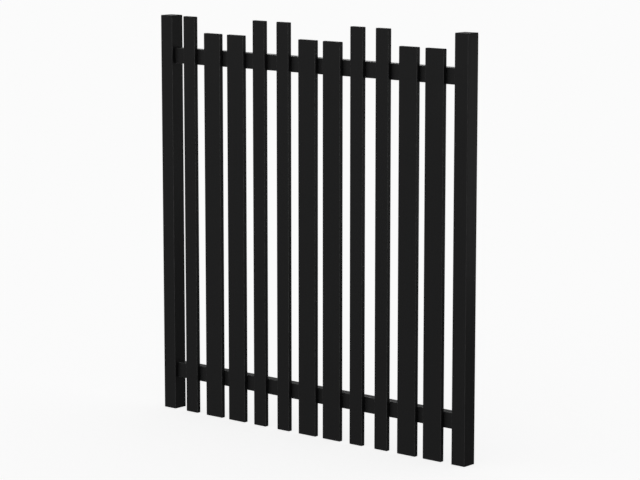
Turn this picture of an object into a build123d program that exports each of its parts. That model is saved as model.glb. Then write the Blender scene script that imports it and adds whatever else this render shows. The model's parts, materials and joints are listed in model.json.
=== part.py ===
from build123d import *
import os

# Pedestrian gate leaf of rectangular aluminium tubes: an upright at each end, two rails between the
# uprights, and a row of flat pickets on the rails' front, level with the uprights' front faces.
# Every open tube end is closed by a moulded plug cap.
# Millimetres. X runs along the gate from the left upright's outer face, Y from front to back with zero
# half way through the uprights, and Z up from the foot.

# Heights
GATE_HEIGHT = 1300.0  # foot to the top of the uprights and the tall pickets
SHORT_PICKET_DROP = 50.0  # top of the tall pickets down to the top of the short ones
LOWER_RAIL_LIFT = 105.0  # foot up to the lower rail's underside
UPPER_RAIL_DROP = 105.0  # top of the gate down to the upper rail's top

# The row of pickets from left to right: N is narrow and tall, W is wide and short
PICKET_ROW = "NWWNNWWNNWW"
PITCH = 100.0  # between the centre lines of neighbours, the uprights among them

# Tube sections
UPRIGHT_WIDTH = 50.0
UPRIGHT_DEPTH = 50.0
UPRIGHT_WALL = 2.5
RAIL_HEIGHT = 50.0
RAIL_DEPTH = 30.0
RAIL_WALL = 2.0
NARROW_PICKET_WIDTH = 50.0
WIDE_PICKET_WIDTH = 70.0
PICKET_DEPTH = 15.0
PICKET_WALL = 1.5
TUBE_EDGE_RADIUS = 2.0  # the long outer edges of every tube

# Plug caps: a flange or plate that closes the tube, on a hollow plug ringed by fins
UPRIGHT_CAP_FLANGE = 3.0
PICKET_CAP_FLANGE = 2.0
FOOT_PLUG_PLATE = 3.0  # lies inside the tube, flush with its end
CAP_SETBACK = 0.3  # from the tube's outside in to the flange's edge, all round
CAP_BEVEL = 0.8  # round the flange's outer face
PLUG_LENGTH = 16.0
PLUG_WALL = 1.5
FIN_COUNT = 2
FIN_SPACING = 5.0
FIN_THICKNESS = 1.0
FIN_REACH = 0.8  # from the plug's wall out to the fin's edge
CAP_CLEARANCE = 0.2  # from the fin's edge to the tube's bore

# Places worked out from the sizes above
FRONT_Y = -UPRIGHT_DEPTH / 2
PICKET_Y = FRONT_Y + PICKET_DEPTH / 2
RAIL_Y = FRONT_Y + PICKET_DEPTH + RAIL_DEPTH / 2
LEFT_UPRIGHT_X = UPRIGHT_WIDTH / 2
RIGHT_UPRIGHT_X = LEFT_UPRIGHT_X + PITCH * (len(PICKET_ROW) + 1)
RAIL_LENGTH = RIGHT_UPRIGHT_X - LEFT_UPRIGHT_X - UPRIGHT_WIDTH
LOWER_RAIL_Z = LOWER_RAIL_LIFT + RAIL_HEIGHT / 2
UPPER_RAIL_Z = GATE_HEIGHT - UPPER_RAIL_DROP - RAIL_HEIGHT / 2
PICKET_WIDTH = {"N": NARROW_PICKET_WIDTH, "W": WIDE_PICKET_WIDTH}
PICKET_TOP = {"N": GATE_HEIGHT, "W": GATE_HEIGHT - SHORT_PICKET_DROP}


def tube(width, depth, wall, length):
    """A straight tube standing on the XY plane round the Z axis, with rounded long edges."""
    outside = RectangleRounded(width, depth, TUBE_EDGE_RADIUS)
    bore = Rectangle(width - 2 * wall, depth - 2 * wall)
    return extrude(outside - bore, amount=length)


def plug(width, depth, wall):
    """The hollow plug that goes up into a tube of this section, with fins that grip the bore."""
    fin_width = width - 2 * (wall + CAP_CLEARANCE)
    fin_depth = depth - 2 * (wall + CAP_CLEARANCE)
    core_width = fin_width - 2 * FIN_REACH
    core_depth = fin_depth - 2 * FIN_REACH
    body = extrude(Rectangle(core_width, core_depth), amount=PLUG_LENGTH)
    fin = extrude(Rectangle(fin_width, fin_depth), amount=FIN_THICKNESS)
    for number in range(1, FIN_COUNT + 1):
        body += Pos(0, 0, number * FIN_SPACING) * fin
    hollow = Rectangle(core_width - 2 * PLUG_WALL, core_depth - 2 * PLUG_WALL)
    return body - extrude(hollow, amount=PLUG_LENGTH)


def end_cap(width, depth, wall, flange):
    """A cap for a tube's lower end: its flange lies on the XY plane and its plug points up."""
    outline = RectangleRounded(width - 2 * CAP_SETBACK, depth - 2 * CAP_SETBACK, TUBE_EDGE_RADIUS)
    plate = extrude(outline, amount=flange)
    plate = chamfer(plate.faces().sort_by(Axis.Z)[0].edges(), CAP_BEVEL)
    return plate + Pos(0, 0, flange) * plug(width, depth, wall)


def foot_plug(width, depth, wall):
    """A closer for a tube's lower end whose plate lies inside the tube, flush with the end."""
    inset = wall + CAP_CLEARANCE
    plate = extrude(Rectangle(width - 2 * inset, depth - 2 * inset), amount=FOOT_PLUG_PLATE)
    return plate + Pos(0, 0, FOOT_PLUG_PLATE) * plug(width, depth, wall)


def upright(side, x):
    """One upright's tube, the cap on its top and the plug in its foot."""
    section = (UPRIGHT_WIDTH, UPRIGHT_DEPTH, UPRIGHT_WALL)
    cap = end_cap(*section, UPRIGHT_CAP_FLANGE)
    return {
        f"{side}_upright": Pos(x, 0, 0) * tube(*section, GATE_HEIGHT - UPRIGHT_CAP_FLANGE),
        f"{side}_upright_top_cap": Pos(x, 0, GATE_HEIGHT) * Rot(180, 0, 0) * cap,
        f"{side}_upright_foot_plug": Pos(x, 0, 0) * foot_plug(*section),
    }


def rail(z):
    """A rail between the uprights' inner faces, with its centre line at height z."""
    standing = tube(RAIL_HEIGHT, RAIL_DEPTH, RAIL_WALL, RAIL_LENGTH)
    return Pos(LEFT_UPRIGHT_X + UPRIGHT_WIDTH / 2, RAIL_Y, z) * Rot(0, 90, 0) * standing


def picket(number, kind):
    """One picket's tube and the caps on its two ends."""
    name = f"picket_{number:02d}"
    section = (PICKET_WIDTH[kind], PICKET_DEPTH, PICKET_WALL)
    top = PICKET_TOP[kind]
    x = LEFT_UPRIGHT_X + PITCH * number
    cap = end_cap(*section, PICKET_CAP_FLANGE)
    standing = tube(*section, top - 2 * PICKET_CAP_FLANGE)
    return {
        name: Pos(x, PICKET_Y, PICKET_CAP_FLANGE) * standing,
        f"{name}_top_cap": Pos(x, PICKET_Y, top) * Rot(180, 0, 0) * cap,
        f"{name}_bottom_cap": Pos(x, PICKET_Y, 0) * cap,
    }


nodes = {"lower_rail": rail(LOWER_RAIL_Z), "upper_rail": rail(UPPER_RAIL_Z)}
nodes |= upright("left", LEFT_UPRIGHT_X)
nodes |= upright("right", RIGHT_UPRIGHT_X)
for number, kind in enumerate(PICKET_ROW, start=1):
    nodes |= picket(number, kind)

os.makedirs("parts", exist_ok=True)
for name, shape in nodes.items():
    export_step(shape, f"parts/{name}.step")
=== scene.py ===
"""Looks, light and camera for a black pedestrian gate leaf of aluminium tubes, in metres."""
import json
import math
import re
import bmesh
import bpy
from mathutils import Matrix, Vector


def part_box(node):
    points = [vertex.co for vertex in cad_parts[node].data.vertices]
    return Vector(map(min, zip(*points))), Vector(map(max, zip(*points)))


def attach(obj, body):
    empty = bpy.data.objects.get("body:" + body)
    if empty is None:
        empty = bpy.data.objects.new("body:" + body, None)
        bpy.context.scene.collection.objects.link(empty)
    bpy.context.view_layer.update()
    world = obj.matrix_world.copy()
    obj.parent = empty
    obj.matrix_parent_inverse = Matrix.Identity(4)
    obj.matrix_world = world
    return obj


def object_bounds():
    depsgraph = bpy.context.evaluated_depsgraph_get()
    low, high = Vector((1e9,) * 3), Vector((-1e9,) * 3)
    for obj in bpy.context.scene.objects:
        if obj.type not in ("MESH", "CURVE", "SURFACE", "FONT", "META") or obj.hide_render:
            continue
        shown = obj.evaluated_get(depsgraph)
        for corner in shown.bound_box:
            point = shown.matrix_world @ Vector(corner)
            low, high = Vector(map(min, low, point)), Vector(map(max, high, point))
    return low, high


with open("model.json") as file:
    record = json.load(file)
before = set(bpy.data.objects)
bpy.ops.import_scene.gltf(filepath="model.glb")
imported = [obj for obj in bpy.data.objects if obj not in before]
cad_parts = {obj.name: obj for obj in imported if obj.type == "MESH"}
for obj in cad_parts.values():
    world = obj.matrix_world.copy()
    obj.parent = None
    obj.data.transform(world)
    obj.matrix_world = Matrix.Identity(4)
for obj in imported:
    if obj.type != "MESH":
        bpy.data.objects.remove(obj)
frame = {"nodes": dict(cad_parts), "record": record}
CAD_LOW, CAD_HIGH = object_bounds()

# Camera: the point it looks at, its angles in degrees, its distance, and its sensor and lens in millimetres
VIEW_TARGET = Vector((0.6587, 0.0, 0.6257))
VIEW_AZIMUTH = 40.574
VIEW_ELEVATION = 9.051
VIEW_DISTANCE = 7.662
SENSOR_WIDTH = 36.0
LENS = 138.03

# Sky: brightness by the sine of the elevation, white above the floor's edge, then grey, brighter upwards
SKY_STOPS = ((0.0, 0.97), (0.10, 0.97), (0.15, 0.15), (1.0, 0.27))

# Lamps: soft boxes by place, sides and power in watts, all turned to one point
SOFT_BOXES = {
    "key_lamp": (Vector((-0.40, -4.80, 1.45)), (1.2, 1.5), 86.0),
    "left_lamp": (Vector((-2.52, -3.75, 2.40)), (2.0, 1.4), 91.0),
    "edge_lamp": (Vector((2.30, -4.60, 1.15)), (0.9, 1.5), 79.0),
    "side_lamp": (Vector((2.75, 2.50, 0.62)), (1.8, 1.2), 19.0),
    "fill_lamp": (Vector((-2.90, 3.80, 4.20)), (2.0, 1.4), 225.0),
    "back_lamp": (Vector((0.20, 4.70, 2.70)), (2.0, 1.4), 185.0),
    "end_lamp": (Vector((-4.50, 0.70, 1.70)), (1.6, 1.4), 92.0),
}
LAMP_AIM = Vector((0.625, 0.0, 0.75))

# Floor: its own colour, and the white that it adds where it is seen, directly or in a reflection
FLOOR_SIDE = 160.0
FLOOR_COLOUR = (0.70, 0.70, 0.70, 1.0)
FLOOR_GLOW = 0.80
WHITE = (1.0, 1.0, 1.0, 1.0)

# Powder coat: faint clouds, orange peel and fine grain, and a painted highlight on the rounded edges,
# lighter in colour and smoother, broken up by noise
COAT_COLOUR = (0.0088, 0.0088, 0.0089)
# The second colour is a painted highlight on the rounded edges
COAT_HIGHLIGHT_COLOUR = (0.0380, 0.0380, 0.0382)
COAT_GRAIN_SHARE = 0.09  # how far the grain goes from the first colour to the second
COAT_LEAST_HIGHLIGHT = 0.6  # of the full painted highlight, on a rounded edge
COAT_ROUGHNESS = (0.27, 0.33)
COAT_EDGE_ROUGHNESS = 0.20
COAT_SPECULAR = 0.016
COAT_CLOUD = {"scale": 9.0, "detail": 3.0}
COAT_PEEL = {"scale": 420.0, "detail": 2.0}
COAT_GRAIN = {"scale": 1500.0, "detail": 2.0, "roughness": 0.6}
# Noise that breaks up the painted edge highlight
COAT_HIGHLIGHT_BREAKUP = {"scale": 70.0, "detail": 4.0}
COAT_PEEL_BUMP = {"distance": 0.00006, "strength": 0.6}
COAT_GRAIN_BUMP = {"distance": 0.00003, "strength": 0.5}

# Cap plastic: one fine grain in colour, roughness and bump
PLASTIC_DARK = (0.0078, 0.0078, 0.0078)
PLASTIC_LIGHT = (0.0130, 0.0130, 0.0130)
PLASTIC_ROUGHNESS = (0.55, 0.65)
PLASTIC_SPECULAR = 0.016
PLASTIC_GRAIN = {"scale": 1100.0, "detail": 3.0, "roughness": 0.65}
PLASTIC_BUMP = {"distance": 0.00005, "strength": 0.5}

# Ranges that the materials read
NOISE_RANGE = (0.3, 0.7)  # where most of a noise texture's values lie
EDGE_RANGE = (0.86, 0.99)  # the largest part of a normal, from a rounded edge to a flat face

# Screws through the rails from behind, two for each crossing with a picket
PICKETS = [name for name in frame["nodes"] if re.fullmatch(r"picket_\d+", name)]
SCREW_HEAD_RADIUS = 0.0052
SCREW_HEAD_HEIGHT = 0.0028
SCREW_RIM_HEIGHT = 0.0005  # the straight side below the crown
SCREW_FLAT_RADIUS = 0.0029  # the flat round the socket
SCREW_CROWN_RINGS = 5
SCREW_SEGMENTS = 24
SCREW_TURN = math.radians(37)  # from one screw to the next
SCREW_CREASE = math.radians(35)
SOCKET_RADIUS = 0.0023  # to the hexagon's corners
SOCKET_LEAD = 0.0002  # the bevel at the socket's mouth
SOCKET_DEPTH = 0.0017
SOCKET_POINT = 0.0022  # how deep the socket's drilled point goes

# Weld beads along the underside and back of each rail end
RAIL_EDGE_RADIUS = 0.002  # of the rails' own long edges
BEAD_LEG = 0.0030
BEAD_BULGE = 0.16  # of the leg, beyond a straight slope
BEAD_RIPPLE = 0.14  # of the leg, missing between two ripples
BEAD_RIPPLE_PITCH = 0.0026
BEAD_STEP = 0.0004
BEAD_ARC_STEPS = 6
BEAD_TIP = 0.2  # of the leg, left at each end
BEAD_CREASE = math.radians(60)

# How far screws and beads reach into what carries them
SUNK = 0.0003


# Node helpers

def new_material(name):
    """A fresh node material, its tree and its Principled shader."""
    material = bpy.data.materials.new(name)
    material.use_nodes = True
    shader = material.node_tree.nodes["Principled BSDF"]
    return material, material.node_tree, shader


def add_node(tree, kind, **inputs):
    """Adds a shader node and sets its inputs by name, with spaces written as underscores."""
    node = tree.nodes.new(kind)
    for name, value in inputs.items():
        node.inputs[name.replace("_", " ")].default_value = value
    return node


def noise(tree, coordinates, scale, detail, roughness=0.5):
    """A noise texture at these coordinates, whose scale is in features per metre."""
    node = add_node(tree, "ShaderNodeTexNoise", Scale=scale, Detail=detail, Roughness=roughness)
    tree.links.new(coordinates, node.inputs["Vector"])
    return node.outputs["Fac"]


def spread(tree, value, low, high, over=NOISE_RANGE):
    """Maps the range that a value goes over onto low to high."""
    node = add_node(tree, "ShaderNodeMapRange", From_Min=over[0], From_Max=over[1], To_Min=low, To_Max=high)
    tree.links.new(value, node.inputs["Value"])
    return node.outputs["Result"]


def blend_colours(tree, factor, dark, light):
    """A colour between dark and light, by factor."""
    ramp = tree.nodes.new("ShaderNodeValToRGB")
    ramp.color_ramp.elements[0].color = (*dark, 1.0)
    ramp.color_ramp.elements[1].color = (*light, 1.0)
    tree.links.new(factor, ramp.inputs["Fac"])
    return ramp.outputs["Color"]


def blend_values(tree, factor, start, end):
    """A value between start, which is a socket, and the number end, by factor."""
    node = add_node(tree, "ShaderNodeMix", B=end)
    tree.links.new(factor, node.inputs["Factor"])
    tree.links.new(start, node.inputs["A"])
    return node.outputs["Result"]


def combine(tree, operation, one, other):
    """Two values put together by a Math node's operation."""
    node = tree.nodes.new("ShaderNodeMath")
    node.operation = operation
    tree.links.new(one, node.inputs[0])
    tree.links.new(other, node.inputs[1])
    return node.outputs["Value"]


def bump(tree, height, distance, strength, below=None):
    """A bump as deep as this distance, on top of another bump where one is given."""
    node = add_node(tree, "ShaderNodeBump", Strength=strength, Distance=distance)
    tree.links.new(height, node.inputs["Height"])
    if below is not None:
        tree.links.new(below, node.inputs["Normal"])
    return node.outputs["Normal"]


def rounded(tree):
    """One where the surface turns away from all three axes, as on rounded edges, and zero on flat faces."""
    normal = tree.nodes.new("ShaderNodeTexCoord").outputs["Normal"]
    size = tree.nodes.new("ShaderNodeVectorMath")
    size.operation = "ABSOLUTE"
    tree.links.new(normal, size.inputs[0])
    parts = tree.nodes.new("ShaderNodeSeparateXYZ")
    tree.links.new(size.outputs["Vector"], parts.inputs["Vector"])
    larger = combine(tree, "MAXIMUM", parts.outputs["X"], parts.outputs["Y"])
    largest = combine(tree, "MAXIMUM", larger, parts.outputs["Z"])
    return spread(tree, largest, 1.0, 0.0, over=EDGE_RANGE)


# Materials

def powder_coat():
    """Satin black powder coat, with a painted highlight in a lighter colour and a smoother roughness on its
    rounded edges.
    """
    material, tree, shader = new_material("black_powder_coat_finish")
    place = tree.nodes.new("ShaderNodeTexCoord").outputs["Object"]
    cloud = noise(tree, place, **COAT_CLOUD)
    peel = noise(tree, place, **COAT_PEEL)
    grain = noise(tree, place, **COAT_GRAIN)
    highlight_breakup = noise(tree, place, **COAT_HIGHLIGHT_BREAKUP)
    # Mask of the painted highlight: the rounded edges, broken up by noise
    painted_highlight_mask = combine(tree, "MULTIPLY", rounded(tree), spread(tree, highlight_breakup, COAT_LEAST_HIGHLIGHT, 1.0))
    grain_and_highlight = blend_values(tree, painted_highlight_mask, spread(tree, grain, 0.0, COAT_GRAIN_SHARE), 1.0)
    # Base colour from the grain tone up to the painted edge highlight
    colour = blend_colours(tree, grain_and_highlight, COAT_COLOUR, COAT_HIGHLIGHT_COLOUR)
    roughness = blend_values(tree, painted_highlight_mask, spread(tree, cloud, *COAT_ROUGHNESS), COAT_EDGE_ROUGHNESS)
    peel_normal = bump(tree, peel, **COAT_PEEL_BUMP)
    normal = bump(tree, grain, **COAT_GRAIN_BUMP, below=peel_normal)
    tree.links.new(colour, shader.inputs["Base Color"])
    tree.links.new(roughness, shader.inputs["Roughness"])
    tree.links.new(normal, shader.inputs["Normal"])
    shader.inputs["Specular IOR Level"].default_value = COAT_SPECULAR
    return material


def cap_plastic():
    """Matt black moulded plastic with a fine eroded grain."""
    material, tree, shader = new_material("black_cap_plastic_finish")
    place = tree.nodes.new("ShaderNodeTexCoord").outputs["Object"]
    grain = noise(tree, place, **PLASTIC_GRAIN)
    colour = blend_colours(tree, spread(tree, grain, 0.0, 1.0), PLASTIC_DARK, PLASTIC_LIGHT)
    tree.links.new(colour, shader.inputs["Base Color"])
    tree.links.new(spread(tree, grain, *PLASTIC_ROUGHNESS), shader.inputs["Roughness"])
    tree.links.new(bump(tree, grain, **PLASTIC_BUMP), shader.inputs["Normal"])
    shader.inputs["Specular IOR Level"].default_value = PLASTIC_SPECULAR
    return material


def floor_paint():
    """Matt grey in the light that falls on it, with a white glow for what sees it."""
    material, tree, shader = new_material("floor_paint")
    rays = tree.nodes.new("ShaderNodeLightPath").outputs
    mirrored = combine(tree, "MAXIMUM", rays["Is Glossy Ray"], rays["Is Transmission Ray"])
    seen = combine(tree, "MAXIMUM", rays["Is Camera Ray"], mirrored)
    glow = spread(tree, seen, 0.0, FLOOR_GLOW, over=(0.0, 1.0))
    tree.links.new(glow, shader.inputs["Emission Strength"])
    shader.inputs["Emission Color"].default_value = WHITE
    shader.inputs["Base Color"].default_value = FLOOR_COLOUR
    shader.inputs["Roughness"].default_value = 1.0
    shader.inputs["Specular IOR Level"].default_value = 0.0
    return material


# Pieces that the solids leave out

def bridge(shape, rings):
    """Joins each ring of vertices to the next by quads."""
    for ring, following in zip(rings, rings[1:]):
        for number in range(len(ring)):
            after = (number + 1) % len(ring)
            shape.faces.new((ring[number], ring[after], following[after], following[number]))


def add_piece(name, shape, crease, material):
    """Makes a piece of a finished shape, smooth but for edges sharper than the crease."""
    bmesh.ops.recalc_face_normals(shape, faces=shape.faces)
    mesh = bpy.data.meshes.new(name)
    shape.to_mesh(mesh)
    shape.free()
    mesh.shade_smooth()
    mesh.set_sharp_from_angle(angle=crease)
    mesh.materials.append(material)
    piece = bpy.data.objects.new(name, mesh)
    bpy.context.scene.collection.objects.link(piece)
    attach(piece, "root")


def screw_head(shape, place, turn):
    """A button head with a hexagon socket, whose underside lies at a place on a rail's back."""
    angles = [math.tau * step / SCREW_SEGMENTS for step in range(SCREW_SEGMENTS)]

    def ring(radius_at, height):
        vertices = []
        for angle in angles:
            across = radius_at(angle) * math.cos(angle + turn)
            up = radius_at(angle) * math.sin(angle + turn)
            vertices.append(shape.verts.new(place + Vector((across, height, up))))
        return vertices

    def circle(radius):
        return lambda angle: radius

    def hexagon(radius):
        flat = radius * math.cos(math.pi / 6)
        return lambda angle: flat / math.cos(angle % (math.pi / 3) - math.pi / 6)

    rings = [ring(circle(SCREW_HEAD_RADIUS), -SUNK)]
    for step in range(SCREW_CROWN_RINGS + 1):
        rise = math.pi / 2 * step / SCREW_CROWN_RINGS
        radius = SCREW_FLAT_RADIUS + (SCREW_HEAD_RADIUS - SCREW_FLAT_RADIUS) * math.cos(rise)
        height = SCREW_RIM_HEIGHT + (SCREW_HEAD_HEIGHT - SCREW_RIM_HEIGHT) * math.sin(rise)
        rings.append(ring(circle(radius), height))
    rings.append(ring(hexagon(SOCKET_RADIUS + SOCKET_LEAD), SCREW_HEAD_HEIGHT))
    rings.append(ring(hexagon(SOCKET_RADIUS), SCREW_HEAD_HEIGHT - SOCKET_LEAD))
    rings.append(ring(hexagon(SOCKET_RADIUS), SCREW_HEAD_HEIGHT - SOCKET_DEPTH))
    bridge(shape, rings)
    shape.faces.new(rings[0])
    point = shape.verts.new(place + Vector((0.0, SCREW_HEAD_HEIGHT - SOCKET_POINT, 0.0)))
    bottom = rings[-1]
    for number, vertex in enumerate(bottom):
        shape.faces.new((vertex, bottom[(number + 1) % SCREW_SEGMENTS], point))


def screws(rail, material):
    """The screws that hold each picket on one rail, half of the picket's width apart."""
    rail_low, rail_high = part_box(rail)
    shape = bmesh.new()
    count = 0
    for node in PICKETS:
        low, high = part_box(node)
        middle = (low.x + high.x) / 2
        quarter = (high.x - low.x) / 4
        for x in (middle - quarter, middle + quarter):
            place = Vector((x, rail_high.y, (rail_low.z + rail_high.z) / 2))
            screw_head(shape, place, SCREW_TURN * count)
            count += 1
    add_piece(rail + "_screws", shape, SCREW_CREASE, material)


def rail_runs(low, high):
    """The lengths of a rail's flat underside, of the rounded edge behind it and of its flat back."""
    under = high.y - low.y - 2 * RAIL_EDGE_RADIUS
    edge = RAIL_EDGE_RADIUS * math.pi / 2
    back = high.z - low.z - 2 * RAIL_EDGE_RADIUS
    return under, edge, back


def rail_outline(low, high, way):
    """The place and outward direction a way along a rail's section, from its underside up its back."""
    under, edge = rail_runs(low, high)[:2]
    if way < under:
        return Vector((0.0, low.y + RAIL_EDGE_RADIUS + way, low.z)), Vector((0.0, 0.0, -1.0))
    if way < under + edge:
        turn = (way - under) / RAIL_EDGE_RADIUS
        out = Vector((0.0, math.sin(turn), -math.cos(turn)))
        centre = Vector((0.0, high.y - RAIL_EDGE_RADIUS, low.z + RAIL_EDGE_RADIUS))
        return centre + RAIL_EDGE_RADIUS * out, out
    rise = way - under - edge
    return Vector((0.0, high.y, low.z + RAIL_EDGE_RADIUS + rise)), Vector((0.0, 1.0, 0.0))


def weld_bead(shape, low, high, end_x, inward):
    """A rippled fillet between a rail's end and the upright, thinning out to a tip at each end."""
    length = sum(rail_runs(low, high))
    stations = round(length / BEAD_STEP)
    rings = []
    for station in range(stations + 1):
        way = length * station / stations
        from_end = min(way, length - way, BEAD_LEG) / BEAD_LEG
        tip = max(BEAD_TIP, math.sqrt(1 - (1 - from_end) ** 2))
        ripple = abs(math.sin(math.pi * way / BEAD_RIPPLE_PITCH))
        leg = BEAD_LEG * tip * (1 - BEAD_RIPPLE + BEAD_RIPPLE * ripple)
        section = [(-SUNK, leg), (-SUNK, -SUNK), (leg, -SUNK)]
        for step in range(BEAD_ARC_STEPS + 1):
            part = step / BEAD_ARC_STEPS
            bulge = leg * BEAD_BULGE * math.sin(math.pi * part)
            section.append((leg * (1 - part) + bulge, leg * part + bulge))
        place, out = rail_outline(low, high, way)
        rings.append([
            shape.verts.new(Vector((end_x + inward * along, 0.0, 0.0)) + place + away * out)
            for along, away in section])
    bridge(shape, rings)
    shape.faces.new(rings[0])
    shape.faces.new(rings[-1])


def welds(rail, material):
    """The beads at both ends of one rail."""
    low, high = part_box(rail)
    shape = bmesh.new()
    weld_bead(shape, low, high, low.x, 1.0)
    weld_bead(shape, low, high, high.x, -1.0)
    add_piece(rail + "_welds", shape, BEAD_CREASE, material)


# The floor, the light and the camera

def floor():
    """A wide level floor at the gate's foot."""
    bpy.ops.mesh.primitive_plane_add(size=FLOOR_SIDE, location=(0, 0, CAD_LOW.z))
    plane = bpy.context.object
    plane.name = "floor"
    plane.data.materials.append(floor_paint())
    return plane


def sky():
    """A grey sky whose brightness changes with height alone."""
    world = bpy.data.worlds.new("studio")
    bpy.context.scene.world = world
    world.use_nodes = True
    tree = world.node_tree
    direction = tree.nodes.new("ShaderNodeTexCoord").outputs["Generated"]
    parts = tree.nodes.new("ShaderNodeSeparateXYZ")
    tree.links.new(direction, parts.inputs["Vector"])
    ramp = tree.nodes.new("ShaderNodeValToRGB")
    stops = ramp.color_ramp.elements
    while len(stops) < len(SKY_STOPS):
        stops.new(0.5)
    for stop, (height, level) in zip(stops, SKY_STOPS):
        stop.position = height
        stop.color = (level, level, level, 1.0)
    tree.links.new(parts.outputs["Z"], ramp.inputs["Fac"])
    tree.links.new(ramp.outputs["Color"], tree.nodes["Background"].inputs["Color"])


def lamps(floor_plane):
    """The lamps light the gate alone, so that the floor under it stays evenly white."""
    unlit = bpy.data.collections.new("lit_by_the_sky_alone")
    unlit.objects.link(floor_plane)
    unlit.collection_objects[0].light_linking.link_state = "EXCLUDE"
    for name, (place, sides, power) in SOFT_BOXES.items():
        light = bpy.data.lights.new(name, "AREA")
        light.shape = "RECTANGLE"
        light.size, light.size_y = sides
        light.energy = power
        holder = bpy.data.objects.new(name, light)
        holder.location = place
        holder.rotation_euler = (place - LAMP_AIM).to_track_quat("Z", "Y").to_euler()
        holder.light_linking.receiver_collection = unlit
        holder.visible_camera = False
        bpy.context.scene.collection.objects.link(holder)


def camera():
    """The camera at the photograph's angle, where azimuth 0 is straight in front of the gate."""
    azimuth = math.radians(VIEW_AZIMUTH)
    elevation = math.radians(VIEW_ELEVATION)
    level = math.cos(elevation)
    back = Vector((math.sin(azimuth) * level, -math.cos(azimuth) * level, math.sin(elevation)))
    optics = bpy.data.cameras.new("camera")
    optics.sensor_width = SENSOR_WIDTH
    optics.lens = LENS
    holder = bpy.data.objects.new("camera", optics)
    holder.location = VIEW_TARGET + back * VIEW_DISTANCE
    holder.rotation_euler = back.to_track_quat("Z", "Y").to_euler()
    bpy.context.scene.collection.objects.link(holder)
    bpy.context.scene.camera = holder


coat = powder_coat()
FINISH = {"black_powder_coat": coat, "black_cap_plastic": cap_plastic()}
for part in frame["record"]["subparts"]:
    frame["nodes"][part["node"]].material_slots[0].material = FINISH[part["material_slot"]]

for rail_node in ("lower_rail", "upper_rail"):
    screws(rail_node, coat)
    welds(rail_node, coat)

floor_plane = floor()
sky()
lamps(floor_plane)
camera()
bpy.context.scene.view_settings.view_transform = "Standard"
